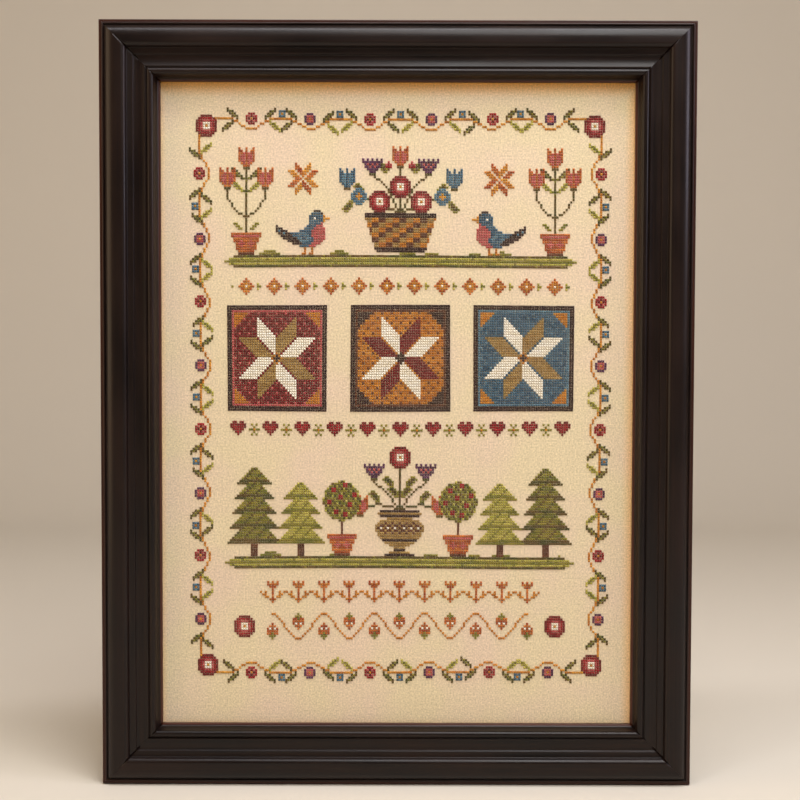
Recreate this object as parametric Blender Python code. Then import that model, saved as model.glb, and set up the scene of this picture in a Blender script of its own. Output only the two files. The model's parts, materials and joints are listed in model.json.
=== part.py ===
"""Framed cross stitch sampler: four mitred lengths of moulding round a stretched linen on a mounting board.

The origin is on the back of the top rail, halfway along it, where the frame lies against the wall.
+Z is up, the front faces -Y and the wall is on the +Y side. All lengths are in metres.
"""

import math

import bmesh
import bpy

# Driving dimensions
FRAME_WIDTH = 0.415
FRAME_HEIGHT = 0.535
RAIL_WIDTH = 0.0414
RAIL_DEPTH = 0.028
RABBET_WIDTH = 0.0059
RABBET_DEPTH = 0.0132
LINEN_THICKNESS = 0.001
BOARD_THICKNESS = 0.005

# Clearances between pieces
MITRE_GAP = 0.0003
SEAT_GAP = 0.0003

# Levels of the moulding above the wall, and the places of its members, counted from the outer edge inwards
EDGE_LEVEL = 0.0222
EDGE_ROUND = 0.0007
BACK_ROUND = 0.0010
OUTER_BEAD_AT = 0.0027
OUTER_BEAD_RADIUS = 0.0009
QUIRK_AT = 0.0042
TORUS_OUTER_RADIUS = 0.0088
TORUS_INNER_RADIUS = 0.0036
CROWN_END = 0.0160
FILLET_LEVEL = 0.0236
FILLET_END = 0.0234
FILLET_ROUND = 0.0008
SCOOP_AT = 0.0268
SCOOP_RADIUS = 0.0150
SCOOP_LEVEL = 0.0220
SCOOP_END = 0.0324
INNER_BEAD_AT = 0.0357
INNER_BEAD_WIDTH = 0.0024
INNER_BEAD_HEIGHT = 0.0022
INNER_BEAD_LEVEL = 0.0224
COVE_WIDTH = 0.0024
LIP_LEVEL = 0.0156
LIP_ROUND = 0.0007

# The small steps where one member meets the next
STEP_RISE = 0.0002
GROOVE_WIDTH = 0.0005

# Steps in a quarter turn of a round member and of a rounded edge, and the angle past which an edge is sharp
STEPS = 6
EDGE_STEPS = 3
SHARP_ANGLE = math.radians(35)

# Two points closer than this are one
SAME_POINT = 1e-6


def arc(centre, radii, start, end, steps=STEPS):
    """Points on an ellipse about centre, from one angle to another, in degrees."""
    points = []
    for i in range(steps + 1):
        angle = math.radians(start + (end - start) * i / steps)
        points.append(
            (centre[0] + radii[0] * math.cos(angle), centre[1] + radii[1] * math.sin(angle))
        )
    return points


def scoop():
    """The hollow between the two raised members, a shallow arc that is open to the front."""
    centre = (SCOOP_AT, SCOOP_LEVEL + SCOOP_RADIUS)
    start = FILLET_END + FILLET_ROUND - SCOOP_AT
    end = SCOOP_END - SCOOP_AT
    angles = [math.degrees(math.asin(x / SCOOP_RADIUS)) - 90 for x in (start, end)]
    return arc(centre, (SCOOP_RADIUS, SCOOP_RADIUS), *angles, steps=2 * STEPS)


def moulding_section():
    """The moulding's outline as (distance in from the outer edge, height above the wall)."""
    inner_wall = RAIL_WIDTH - RABBET_WIDTH
    crown_start = QUIRK_AT + TORUS_OUTER_RADIUS
    torus_height = RAIL_DEPTH - EDGE_LEVEL
    cove_level = INNER_BEAD_LEVEL - STEP_RISE
    cove_centre = INNER_BEAD_AT + INNER_BEAD_WIDTH + COVE_WIDTH + STEP_RISE
    back = arc((BACK_ROUND, BACK_ROUND), (BACK_ROUND, BACK_ROUND), 270, 180, EDGE_STEPS)
    edge = arc((EDGE_ROUND, EDGE_LEVEL - EDGE_ROUND), (EDGE_ROUND, EDGE_ROUND), 180, 90, EDGE_STEPS)
    outer_bead = arc(
        (OUTER_BEAD_AT, EDGE_LEVEL), (OUTER_BEAD_RADIUS, OUTER_BEAD_RADIUS), 180, 0, 2 * STEPS
    )
    torus = arc((crown_start, EDGE_LEVEL), (TORUS_OUTER_RADIUS, torus_height), 180, 90, 2 * STEPS)
    shoulder = arc(
        (CROWN_END, RAIL_DEPTH - TORUS_INNER_RADIUS),
        (TORUS_INNER_RADIUS, TORUS_INNER_RADIUS),
        90,
        0,
    )
    shoulder_foot = [(CROWN_END + TORUS_INNER_RADIUS + 2 * STEP_RISE, FILLET_LEVEL + STEP_RISE)]
    fillet_edge = arc(
        (FILLET_END, FILLET_LEVEL - FILLET_ROUND), (FILLET_ROUND, FILLET_ROUND), 90, 0, EDGE_STEPS
    )
    groove = [(SCOOP_END + GROOVE_WIDTH, INNER_BEAD_LEVEL)]
    inner_bead = arc(
        (INNER_BEAD_AT, INNER_BEAD_LEVEL), (INNER_BEAD_WIDTH, INNER_BEAD_HEIGHT), 180, 0, 2 * STEPS
    )
    cove = arc((cove_centre, cove_level), (COVE_WIDTH, cove_level - LIP_LEVEL), 180, 270)
    lip = arc(
        (RAIL_WIDTH - LIP_ROUND, LIP_LEVEL - LIP_ROUND), (LIP_ROUND, LIP_ROUND), 90, 0, EDGE_STEPS
    )
    rabbet = [(RAIL_WIDTH, RABBET_DEPTH), (inner_wall, RABBET_DEPTH), (inner_wall, 0.0)]
    return without_doubles(
        back + edge + outer_bead + torus + shoulder + shoulder_foot
        + fillet_edge + scoop() + groove + inner_bead + cove + lip + rabbet
    )


def without_doubles(points):
    """The points with each that repeats the one before it left out."""
    kept = []
    for point in points:
        if not kept or math.dist(point, kept[-1]) > SAME_POINT:
            kept.append(point)
    return kept


def material(name, colour, roughness):
    """A plain Principled material."""
    made = bpy.data.materials.new(name)
    made.use_nodes = True
    shader = made.node_tree.nodes["Principled BSDF"]
    shader.inputs["Base Color"].default_value = (*colour, 1.0)
    shader.inputs["Roughness"].default_value = roughness
    shader.inputs["Metallic"].default_value = 0.0
    return made


def add_object(name, mesh, finish):
    """Links an object for the mesh, with its material."""
    mesh.materials.append(finish)
    made = bpy.data.objects.new(name, mesh)
    bpy.context.scene.collection.objects.link(made)
    return made


def rail_mesh(name, length, section):
    """A length of moulding along X with mitred ends, its outer edge at z 0 and its inner edge below."""
    half_gap = MITRE_GAP / 2 * math.sqrt(2)
    bm = bmesh.new()
    ends = []
    for side in (-1, 1):
        ends.append(
            [
                bm.verts.new((side * (length / 2 - half_gap - across), -height, -across))
                for across, height in section
            ]
        )
    count = len(section)
    for i in range(count):
        j = (i + 1) % count
        bm.faces.new((ends[0][i], ends[0][j], ends[1][j], ends[1][i]))
    for end in ends:
        bm.faces.new(end)
    bmesh.ops.recalc_face_normals(bm, faces=bm.faces)
    mesh = bpy.data.meshes.new(name)
    bm.to_mesh(mesh)
    bm.free()
    mesh.shade_smooth()
    mesh.set_sharp_from_angle(angle=SHARP_ANGLE)
    return mesh


def add_rails(finish):
    """The four rails. Each is turned about the frame's centre, so its outer edge lies on that side."""
    section = moulding_section()
    centre_z = RAIL_WIDTH / 2 - FRAME_HEIGHT / 2
    sides = (
        ("rail_top", FRAME_WIDTH, FRAME_HEIGHT / 2, 0),
        ("rail_left", FRAME_HEIGHT, FRAME_WIDTH / 2, -90),
        ("rail_bottom", FRAME_WIDTH, FRAME_HEIGHT / 2, 180),
        ("rail_right", FRAME_HEIGHT, FRAME_WIDTH / 2, 90),
    )
    for name, length, outward, turn in sides:
        rail = add_object(name, rail_mesh(name, length, section), finish)
        angle = math.radians(turn)
        rail.rotation_euler = (0.0, angle, 0.0)
        rail.location = (
            outward * math.sin(angle),
            0.0,
            centre_z + outward * math.cos(angle),
        )


def panel_mesh(name, width, height, thickness):
    """A flat panel centred on the origin, its front at y 0 and its back at y thickness."""
    bm = bmesh.new()
    bmesh.ops.create_cube(bm, size=1.0)
    bmesh.ops.scale(bm, vec=(width, thickness, height), verts=bm.verts)
    bmesh.ops.translate(bm, vec=(0.0, thickness / 2, 0.0), verts=bm.verts)
    mesh = bpy.data.meshes.new(name)
    bm.to_mesh(mesh)
    bm.free()
    return mesh


def add_panels(linen_finish, board_finish):
    """The linen in the rabbet, and the board that it is stretched on."""
    width = FRAME_WIDTH - 2 * (RAIL_WIDTH - RABBET_WIDTH) - 2 * SEAT_GAP
    height = FRAME_HEIGHT - 2 * (RAIL_WIDTH - RABBET_WIDTH) - 2 * SEAT_GAP
    centre_z = RAIL_WIDTH / 2 - FRAME_HEIGHT / 2
    linen_front = SEAT_GAP - RABBET_DEPTH
    board_front = linen_front + LINEN_THICKNESS + SEAT_GAP
    linen = add_object("linen", panel_mesh("linen", width, height, LINEN_THICKNESS), linen_finish)
    linen.location = (0.0, linen_front, centre_z)
    board = add_object(
        "backing_board", panel_mesh("backing_board", width, height, BOARD_THICKNESS), board_finish
    )
    board.location = (0.0, board_front, centre_z)


def main():
    """Clears the scene and builds the sampler."""
    for old in list(bpy.data.objects):
        bpy.data.objects.remove(old, do_unlink=True)
    add_rails(material("espresso_wood", (0.020, 0.014, 0.012), 0.35))
    add_panels(
        material("natural_linen", (0.72, 0.60, 0.42), 0.95),
        material("grey_board", (0.42, 0.38, 0.33), 0.90),
    )
    bpy.context.view_layer.update()


main()
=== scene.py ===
"""The looks of the framed cross stitch sampler: moulding, stretched linen, counted stitches and board.

Lengths are in metres. The frame hangs on a wall at y 0, its stitched front faces -Y, and +Z is up.
"""

import json
import logging
import math
import random
from dataclasses import dataclass, field
from enum import Enum

import bpy
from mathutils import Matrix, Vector

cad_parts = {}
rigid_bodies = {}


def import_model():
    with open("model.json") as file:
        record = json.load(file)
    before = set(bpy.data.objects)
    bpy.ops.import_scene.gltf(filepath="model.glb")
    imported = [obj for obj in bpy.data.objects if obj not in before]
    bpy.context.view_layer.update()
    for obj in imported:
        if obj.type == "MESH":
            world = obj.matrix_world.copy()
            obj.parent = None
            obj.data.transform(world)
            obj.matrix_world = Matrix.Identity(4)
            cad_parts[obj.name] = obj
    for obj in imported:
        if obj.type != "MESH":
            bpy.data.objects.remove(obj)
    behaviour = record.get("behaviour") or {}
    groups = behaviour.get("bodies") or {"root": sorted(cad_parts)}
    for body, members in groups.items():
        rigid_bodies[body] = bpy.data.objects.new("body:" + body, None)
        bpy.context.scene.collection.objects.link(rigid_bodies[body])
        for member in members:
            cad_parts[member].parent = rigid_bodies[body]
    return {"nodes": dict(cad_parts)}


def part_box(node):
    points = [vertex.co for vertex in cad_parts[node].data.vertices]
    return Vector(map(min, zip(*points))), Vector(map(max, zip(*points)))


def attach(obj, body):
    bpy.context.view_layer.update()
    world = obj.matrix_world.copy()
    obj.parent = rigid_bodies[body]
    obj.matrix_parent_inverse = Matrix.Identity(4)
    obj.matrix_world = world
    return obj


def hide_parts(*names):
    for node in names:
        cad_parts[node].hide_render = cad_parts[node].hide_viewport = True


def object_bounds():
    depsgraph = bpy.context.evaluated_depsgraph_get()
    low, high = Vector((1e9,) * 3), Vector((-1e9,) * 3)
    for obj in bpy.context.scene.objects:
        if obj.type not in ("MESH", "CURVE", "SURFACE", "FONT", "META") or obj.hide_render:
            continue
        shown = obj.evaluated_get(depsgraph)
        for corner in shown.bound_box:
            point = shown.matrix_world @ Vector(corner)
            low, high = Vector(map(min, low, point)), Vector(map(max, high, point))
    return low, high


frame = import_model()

# The lowest and the highest corner of the solids
CAD_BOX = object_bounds()
BODY = "root"
SEED = 1871

LOG = logging.getLogger("sampler")

Triple = tuple[float, float, float]
Colour = Triple
Span = tuple[float, float]
Motif = list[str]
Cell = tuple[int, int]
Socket = bpy.types.NodeSocket
Value = float | Socket
Sockets = dict[str | int, object]
Material = bpy.types.Material
Piece = bpy.types.Object

# The range that most of a noise pattern lies in
CLOUDY: Span = (0.25, 0.75)

# The signs of the four corners, first across and then down or up
CORNERS: tuple[Cell, ...] = ((-1, -1), (-1, 1), (1, -1), (1, 1))


def linear(red: int, green: int, blue: int) -> Colour:
    """Turns a colour on the screen's scale into the linear one that shaders read.

    Args:
        red: the red part, from 0 to 255.
        green: the green part, from 0 to 255.
        blue: the blue part, from 0 to 255.

    Returns:
        The linear colour, each part from 0 to 1.
    """
    parts = []
    for part in (red, green, blue):
        share = part / 255
        parts.append(share / 12.92 if share <= 0.04045 else ((share + 0.055) / 1.055) ** 2.4)
    return (parts[0], parts[1], parts[2])


class ShaderTree:
    """A Principled material and the nodes that feed it."""

    def __init__(self, name: str) -> None:
        """Starts the material.

        Args:
            name: the material's name.
        """
        self.material = bpy.data.materials.new(name)
        self.material.use_nodes = True
        self.tree = self.material.node_tree
        self.shader = self.tree.nodes["Principled BSDF"]

    def add(self, kind: str, sockets: Sockets, **settings: object) -> bpy.types.Node:
        """Adds a node.

        Args:
            kind: the node's type.
            sockets: what goes into its inputs, by name or number, each a value or another node's output.
            settings: its own settings.

        Returns:
            The node.
        """
        node = self.tree.nodes.new(kind)
        for name, value in settings.items():
            setattr(node, name, value)
        self.feed(node, sockets)
        return node

    def feed(self, node: bpy.types.Node, sockets: Sockets) -> None:
        """Sets or links a node's inputs.

        Args:
            node: the node to feed.
            sockets: what goes into its inputs, by name or number.
        """
        for name, value in sockets.items():
            socket = node.inputs[name]
            if isinstance(value, Socket):
                self.tree.links.new(value, socket)
            else:
                socket.default_value = (*value, 1.0) if socket.type == "RGBA" else value

    def dressed(self, sockets: Sockets) -> Material:
        """Feeds the Principled shader, and gives back the material."""
        self.feed(self.shader, sockets)
        return self.material

    def place(self) -> Socket:
        """The point's place in the object, in metres."""
        return self.add("ShaderNodeTexCoord", {}).outputs["Object"]

    def attribute(self, name: str) -> bpy.types.NodeOutputs:
        """The outputs of a node that reads one of the mesh's own attributes."""
        return self.add("ShaderNodeAttribute", {}, attribute_name=name).outputs

    def parts(self, vector: Socket) -> bpy.types.NodeOutputs:
        """The vector's three parts, as outputs named X, Y and Z."""
        return self.add("ShaderNodeSeparateXYZ", {0: vector}).outputs

    def noise(self, vector: Socket, scale: Triple, detail: float) -> Socket:
        """A soft cloudy pattern.

        Args:
            vector: where the pattern is read.
            scale: how many clouds there are to the metre along each axis.
            detail: how many finer layers it has.

        Returns:
            The pattern, from 0 to 1.
        """
        scaled = self.add("ShaderNodeVectorMath", {0: vector, 1: scale}, operation="MULTIPLY")
        sockets = {"Vector": scaled.outputs[0], "Scale": 1.0, "Detail": detail}
        return self.add("ShaderNodeTexNoise", sockets).outputs["Fac"]

    def math(self, operation: str, *values: Value) -> Socket:
        """A sum on one, two or three values."""
        return self.add("ShaderNodeMath", dict(enumerate(values)), operation=operation).outputs[0]

    def plus(self, one: Value, two: Value) -> Socket:
        """One value added to another."""
        return self.math("ADD", one, two)

    def times(self, one: Value, two: Value) -> Socket:
        """One value multiplied by another."""
        return self.math("MULTIPLY", one, two)

    def ramp(self, value: Socket, given: Span, wanted: Span = (0.0, 1.0)) -> Socket:
        """Maps a value from one range to another, and keeps it there.

        Args:
            value: what is mapped.
            given: the range that it is mapped from.
            wanted: the range that it is mapped to.

        Returns:
            The mapped value.
        """
        sockets = {"Value": value, "From Min": given[0], "From Max": given[1]}
        sockets |= {"To Min": wanted[0], "To Max": wanted[1]}
        return self.add("ShaderNodeMapRange", sockets).outputs["Result"]

    def mix(self, share: Value, one: Colour | Socket, two: Colour | Socket) -> Socket:
        """Blends two colours.

        Args:
            share: how much of the second there is, from 0 to 1.
            one: the first colour.
            two: the second colour.

        Returns:
            The blended colour.
        """
        return self.add("ShaderNodeMix", {0: share, 6: one, 7: two}, data_type="RGBA").outputs[2]

    def shaded(self, colour: Socket, brightness: Socket) -> Socket:
        """A colour multiplied by a brightness, with its hue unchanged."""
        return self.add("ShaderNodeVectorMath", {0: colour, 3: brightness}, operation="SCALE").outputs[0]

    def bump(self, height: Socket, depth: float, strength: float) -> Socket:
        """A fine relief in the surface.

        Args:
            height: the relief, from 0 to 1.
            depth: how deep it is, in metres.
            strength: how much of it shows.

        Returns:
            The surface's normal.
        """
        sockets = {"Height": height, "Distance": depth, "Strength": strength}
        return self.add("ShaderNodeBump", sockets).outputs["Normal"]


@dataclass(frozen=True)
class EspressoWood:
    """Dark stained wood under a satin lacquer, with its grain along the rail, rubbed redder at two edges.

    The sight edge and the outer bead are distances in from the rail's outer edge, between which the
    rubbing starts and is full, and the bead's front is the same for heights above the wall. The scales
    are along the rail, across it and up from the wall.
    """

    deep: Colour = linear(13, 9, 9)
    warm: Colour = linear(33, 19, 13)
    rubbed: Colour = linear(98, 50, 34)
    streak_scale: Triple = (9.0, 900.0, 900.0)
    pore_scale: Triple = (90.0, 2600.0, 2600.0)
    patch_scale: Triple = (14.0, 40.0, 40.0)
    streak_share: float = 0.6
    patch_share: float = 0.5
    warm_between: Span = (0.38, 0.74)
    sight_edge: Span = (0.0396, 0.0408)
    sight_edge_rub: float = 0.55
    outer_bead: Span = (0.0034, 0.0012)
    outer_bead_rub: float = 0.28
    bead_front: Span = (0.0200, 0.0218)
    roughness: Span = (0.30, 0.43)
    specular: float = 0.21
    coat: float = 0.08
    coat_roughness: float = 0.20
    grain_depth: float = 0.00004
    grain_strength: float = 0.35

    def rubbing(self, shade: ShaderTree, grain: Socket, streaks: Socket) -> Socket:
        """How much the stain is rubbed through at the point.

        Args:
            shade: the material's nodes.
            grain: the point's place along the rail, across it and up from the wall.
            streaks: the grain's streaks, along which it is rubbed less.

        Returns:
            The share, from 0 to 1.
        """
        parts = shade.parts(grain)
        lip = shade.ramp(parts["Y"], self.sight_edge, (0.0, self.sight_edge_rub))
        bead = shade.times(
            shade.ramp(parts["Y"], self.outer_bead, (0.0, self.outer_bead_rub)),
            shade.ramp(parts["Z"], self.bead_front),
        )
        return shade.times(shade.math("MAXIMUM", lip, bead), shade.ramp(streaks, (0.3, 0.6), (0.5, 1.0)))

    def material(self) -> Material:
        """Makes the finish, read from the rail's grain attribute.

        Returns:
            The material.
        """
        shade = ShaderTree("espresso_wood")
        grain = shade.attribute("grain")["Vector"]
        streaks = shade.noise(grain, self.streak_scale, 4.0)
        pores = shade.noise(grain, self.pore_scale, 2.0)
        patches = shade.noise(grain, self.patch_scale, 3.0)
        tone = shade.plus(shade.times(streaks, self.streak_share), shade.times(patches, self.patch_share))
        colour = shade.mix(shade.ramp(tone, self.warm_between), self.deep, self.warm)
        sockets = {
            "Base Color": shade.mix(self.rubbing(shade, grain, streaks), colour, self.rubbed),
            "Roughness": shade.ramp(patches, (0.3, 0.7), self.roughness),
            "Specular IOR Level": self.specular,
            "Coat Weight": self.coat,
            "Coat Roughness": self.coat_roughness,
            "Normal": shade.bump(shade.plus(pores, streaks), self.grain_depth, self.grain_strength),
        }
        return shade.dressed(sockets)


@dataclass(frozen=True)
class PaintedShadowTint:
    """A golden shadow painted on the linen along one side of the frame's opening, where a rail's shadow
    falls.

    It is full at the edge, a place on an axis, and fades out over a width, which is signed.
    """

    axis: str
    edge: float
    width: float
    most: float


@dataclass(frozen=True)
class EvenweaveLinen:
    """Cream evenweave linen: round threads over and under, with painted shade between the threads and a
    golden shadow painted along the opening.
    """

    light: Colour = linear(225, 210, 173)
    pink: Colour = linear(227, 205, 181)
    # painted shade: the darker colour where the weave dips between the threads
    painted_gap_shade: Colour = linear(194, 173, 135)
    # painted shadow: the golden tone along the opening's edges, how far in the opening is, and how fast the
    # tone fades
    painted_shadow_gold: Colour = linear(250, 178, 66)
    opening_in: float = 0.0414
    painted_shadow_fall: float = 1.3
    thread_across: float = 0.00082
    thread_up: float = 0.0008725
    wander: float = 0.45
    wander_scale: Triple = (420.0, 1.0, 420.0)
    sway: float = 2.4
    sway_scale: Triple = (75.0, 1.0, 75.0)
    warp_scale: Triple = (1150.0, 1.0, 26.0)
    weft_scale: Triple = (26.0, 1.0, 1080.0)
    slub: Span = (0.96, 1.04)
    slub_height: float = 0.6
    fleck_scale: Triple = (900.0, 1.0, 860.0)
    fleck: Span = (0.72, 1.20)
    cloud_scale: Triple = (22.0, 22.0, 22.0)
    thread_depth: float = 0.00012
    thread_strength: float = 0.6
    roughness: float = 0.92
    specular: float = 0.2
    sheen: float = 0.18
    sheen_roughness: float = 0.6

    def painted_shadow_share(self, shade: ShaderTree, parts: bpy.types.NodeOutputs) -> Socket:
        """The share of painted golden shadow at the point, most along the top and the right, where the
        rails' shadows fall.

        Args:
            shade: the material's nodes.
            parts: the point's place, in parts.

        Returns:
            The share, from 0 to 1.
        """
        low, high = CAD_BOX
        # painted shadow along each side: widest and strongest at the top and right, where the lamps cast the
        # rails' shadows
        sides = (
            PaintedShadowTint("Z", high.z - self.opening_in, -0.0110, 1.00),
            PaintedShadowTint("X", high.x - self.opening_in, -0.0080, 0.60),
            PaintedShadowTint("X", low.x + self.opening_in, 0.0040, 0.30),
            PaintedShadowTint("Z", low.z + self.opening_in, 0.0030, 0.15),
        )
        share = 0.0
        for side in sides:
            fade = shade.ramp(parts[side.axis], (side.edge + side.width, side.edge))
            painted_shadow_here = shade.times(shade.math("POWER", fade, self.painted_shadow_fall), side.most)
            share = shade.math("MAXIMUM", share, painted_shadow_here)
        return share

    def weave(self, shade: ShaderTree, place: Socket, parts: bpy.types.NodeOutputs) -> Socket:
        """The relief of the threads, over and under, which stray a little from straight lines.

        Args:
            shade: the material's nodes.
            place: the point's place.
            parts: the same, in parts.

        Returns:
            The relief, from 0 to 1.
        """
        wander = shade.noise(place, self.wander_scale, 2.0)
        sway = shade.noise(place, self.sway_scale, 1.0)
        drift = shade.plus(
            shade.ramp(wander, CLOUDY, (-self.wander, self.wander)),
            shade.ramp(sway, CLOUDY, (-self.sway, self.sway)),
        )
        waves = []
        for axis, pitch in (("X", self.thread_across), ("Z", self.thread_up)):
            turns = shade.math("MULTIPLY_ADD", parts[axis], math.pi / pitch, drift)
            waves.append(shade.math("COSINE", turns))
        over = shade.times(*waves)
        threads = []
        for wave, wanted in zip(waves, ((0.0, 1.0), (1.0, 0.0))):
            threads.append(shade.times(shade.math("ABSOLUTE", wave), shade.ramp(over, (-1.0, 1.0), wanted)))
        return shade.plus(*threads)

    def material(self) -> Material:
        """Makes the finish, read from the point's place in the object.

        Returns:
            The material.
        """
        shade = ShaderTree("evenweave_linen")
        place = shade.place()
        parts = shade.parts(place)
        relief = self.weave(shade, place, parts)
        warp = shade.noise(place, self.warp_scale, 2.0)
        weft = shade.noise(place, self.weft_scale, 2.0)
        slub = shade.ramp(shade.plus(warp, weft), (0.72, 1.28), self.slub)
        fleck = shade.ramp(shade.noise(place, self.fleck_scale, 2.0), CLOUDY, self.fleck)
        cloud = shade.ramp(shade.noise(place, self.cloud_scale, 3.0), (0.35, 0.65))
        # painted shadow: the threads turn golden near the opening's edges, most along the top and right
        thread = shade.mix(self.painted_shadow_share(shade, parts), shade.mix(cloud, self.light, self.pink), self.painted_shadow_gold)
        # painted shade: darker where the weave dips between the threads
        colour = shade.mix(shade.ramp(relief, (0.05, 0.75)), self.painted_gap_shade, thread)
        height = shade.plus(relief, shade.times(slub, self.slub_height))
        sockets = {
            "Base Color": shade.shaded(colour, shade.times(slub, fleck)),
            "Roughness": self.roughness,
            "Specular IOR Level": self.specular,
            "Sheen Weight": self.sheen,
            "Sheen Roughness": self.sheen_roughness,
            "Normal": shade.bump(height, self.thread_depth, self.thread_strength),
        }
        return shade.dressed(sockets)


@dataclass(frozen=True)
class FlossFinish:
    """Two strands of hand-dyed cotton floss, which drifts between two shades, with the strands' twist."""

    name: str
    first: Colour
    second: Colour
    stitch_tones: Span = (0.84, 1.14)
    dye_scale: Triple = (70.0, 1.0, 420.0)
    strands: float = 620.0
    # painted shade in the grooves between the twisted strands
    painted_strand_shade: Span = (0.86, 1.06)
    strand_depth: float = 0.00004
    strand_strength: float = 0.5
    roughness: float = 0.66
    specular: float = 0.22
    sheen: float = 0.10
    sheen_roughness: float = 0.4

    def material(self) -> Material:
        """Makes the finish, read from each stitch's own tone and the twist attribute along its threads.

        Returns:
            The material.
        """
        shade = ShaderTree(f"floss_{self.name}")
        dye = shade.noise(shade.place(), self.dye_scale, 2.0)
        colour = shade.mix(shade.ramp(dye, (0.40, 0.60)), self.first, self.second)
        own = shade.ramp(shade.attribute("shade")["Fac"], (0.0, 1.0), self.stitch_tones)
        sockets = {"Vector": shade.attribute("twist")["Vector"], "Scale": self.strands}
        sockets |= {"Distortion": 1.5, "Detail": 1.0}
        settings = {"wave_type": "BANDS", "bands_direction": "DIAGONAL"}
        wave = shade.add("ShaderNodeTexWave", sockets, **settings).outputs["Fac"]
        # painted shade: darker bands in the grooves between the twisted strands
        strand_shade = shade.ramp(wave, (0.0, 1.0), self.painted_strand_shade)
        sockets = {
            "Base Color": shade.shaded(colour, shade.times(own, strand_shade)),
            "Roughness": self.roughness,
            "Specular IOR Level": self.specular,
            "Sheen Weight": self.sheen,
            "Sheen Roughness": self.sheen_roughness,
            "Normal": shade.bump(wave, self.strand_depth, self.strand_strength),
        }
        return shade.dressed(sockets)


@dataclass(frozen=True)
class MountingBoard:
    """Pale paper-faced board, a little yellowed, with a fine fibre."""

    face: Colour = linear(204, 196, 178)
    aged: Colour = linear(182, 166, 138)
    ageing: Span = (0.0, 0.35)
    cloud_scale: Triple = (11.0, 11.0, 11.0)
    fibre_scale: Triple = (900.0, 900.0, 2400.0)
    fibre_tones: Span = (0.94, 1.04)
    fibre_depth: float = 0.00003
    fibre_strength: float = 0.4
    roughness: float = 0.88

    def material(self) -> Material:
        """Makes the finish, read from the point's place in the object.

        Returns:
            The material.
        """
        shade = ShaderTree("mounting_board")
        place = shade.place()
        aged = shade.ramp(shade.noise(place, self.cloud_scale, 4.0), (0.35, 0.7), self.ageing)
        fibre = shade.noise(place, self.fibre_scale, 3.0)
        colour = shade.mix(aged, self.face, self.aged)
        sockets = {
            "Base Color": shade.shaded(colour, shade.ramp(fibre, (0.3, 0.7), self.fibre_tones)),
            "Roughness": self.roughness,
            "Normal": shade.bump(fibre, self.fibre_depth, self.fibre_strength),
        }
        return shade.dressed(sockets)


@dataclass(frozen=True)
class StudioPaper:
    """The pale paper of the floor and backdrop."""

    colour: Colour = linear(226, 219, 205)
    roughness: float = 0.9

    def material(self) -> Material:
        """Makes the finish."""
        shade = ShaderTree("studio_paper")
        return shade.dressed({"Base Color": self.colour, "Roughness": self.roughness})


class Floss(Enum):
    """The skeins of floss, each by the letter that stands for it in a motif."""

    GOLD = "g"
    OCHRE = "o"
    RUST = "r"
    BROWN = "b"
    UMBER = "u"
    BARN_RED = "R"
    BERRY_RED = "B"
    SLATE = "s"
    PALE_SLATE = "S"
    OLIVE = "d"
    MOSS = "m"
    SAGE = "l"
    CREAM = "w"
    TAN = "t"
    PLUM = "p"
    ROSE = "k"


SKEINS = {
    Floss.GOLD: FlossFinish("gold", linear(214, 150, 44), linear(194, 118, 28)),
    Floss.OCHRE: FlossFinish("ochre", linear(180, 106, 22), linear(204, 134, 40)),
    Floss.RUST: FlossFinish("rust", linear(158, 66, 26), linear(204, 118, 46)),
    Floss.BROWN: FlossFinish("brown", linear(108, 60, 36), linear(84, 46, 30)),
    Floss.UMBER: FlossFinish("umber", linear(60, 34, 31), linear(46, 26, 25)),
    Floss.BARN_RED: FlossFinish("barn_red", linear(124, 24, 26), linear(102, 20, 24)),
    Floss.BERRY_RED: FlossFinish("berry_red", linear(166, 22, 34), linear(138, 18, 28)),
    Floss.SLATE: FlossFinish("slate_blue", linear(44, 80, 104), linear(66, 104, 126)),
    Floss.PALE_SLATE: FlossFinish("pale_slate", linear(96, 134, 150), linear(76, 112, 132)),
    Floss.OLIVE: FlossFinish("dark_olive", linear(72, 74, 30), linear(104, 80, 36)),
    Floss.MOSS: FlossFinish("moss_green", linear(114, 116, 40), linear(146, 134, 46)),
    Floss.SAGE: FlossFinish("sage_green", linear(168, 162, 62), linear(192, 180, 86)),
    Floss.CREAM: FlossFinish("cream", linear(250, 245, 230), linear(243, 234, 212), (0.93, 1.02)),
    Floss.TAN: FlossFinish("tan", linear(172, 140, 80), linear(150, 116, 60)),
    Floss.PLUM: FlossFinish("plum", linear(94, 48, 88), linear(76, 40, 66)),
    Floss.ROSE: FlossFinish("rose", linear(198, 102, 96), linear(176, 74, 76)),
}

# Charted motifs: a letter of floss for each stitch, and a point where the linen stays bare
LEAF = """
....d
..dmd
.dmd.
dmd..
d....
""".split()
LIGHT_LEAF = [row.replace("d", "l") for row in LEAF]
POSY = """
.BBB.
BkRkB
BRgRB
BkRkB
.BBB.
""".split()
PLUM_POSY = [row.replace("B", "p").replace("R", "k") for row in POSY]
BLUE_KNOT = """
sSs
SgS
sSs
""".split()
ROSE = """
..RRRRR..
.RBBBBBR.
RBBkkkBBR
RBkwwwkBR
RBkwgwkBR
RBkwwwkBR
RBBkkkBBR
.RBBBBBR.
..RRRRR..
""".split()
TULIP = """
r..r..r
rr.r.rr
rrkrkrr
rkkrkkr
rkkrkkr
rkkrkkr
.rkrkr.
..rrr..
..ddd..
""".split()
BLUE_TULIP = [row.replace("r", "s").replace("k", "S") for row in TULIP]
DAISY = """
..SSS..
.SsSsS.
SsSgSsS
SSgggSS
SsSgSsS
.SsSsS.
..SSS..
""".split()
CARNATION = """
p.p.p.p.p
ppppppppp
.pkpkpkp.
.ppkpkpp.
..ppppp..
...ppp...
...ddd...
""".split()
BUD = """
.k.
kBk
BBB
.d.
""".split()
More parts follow.
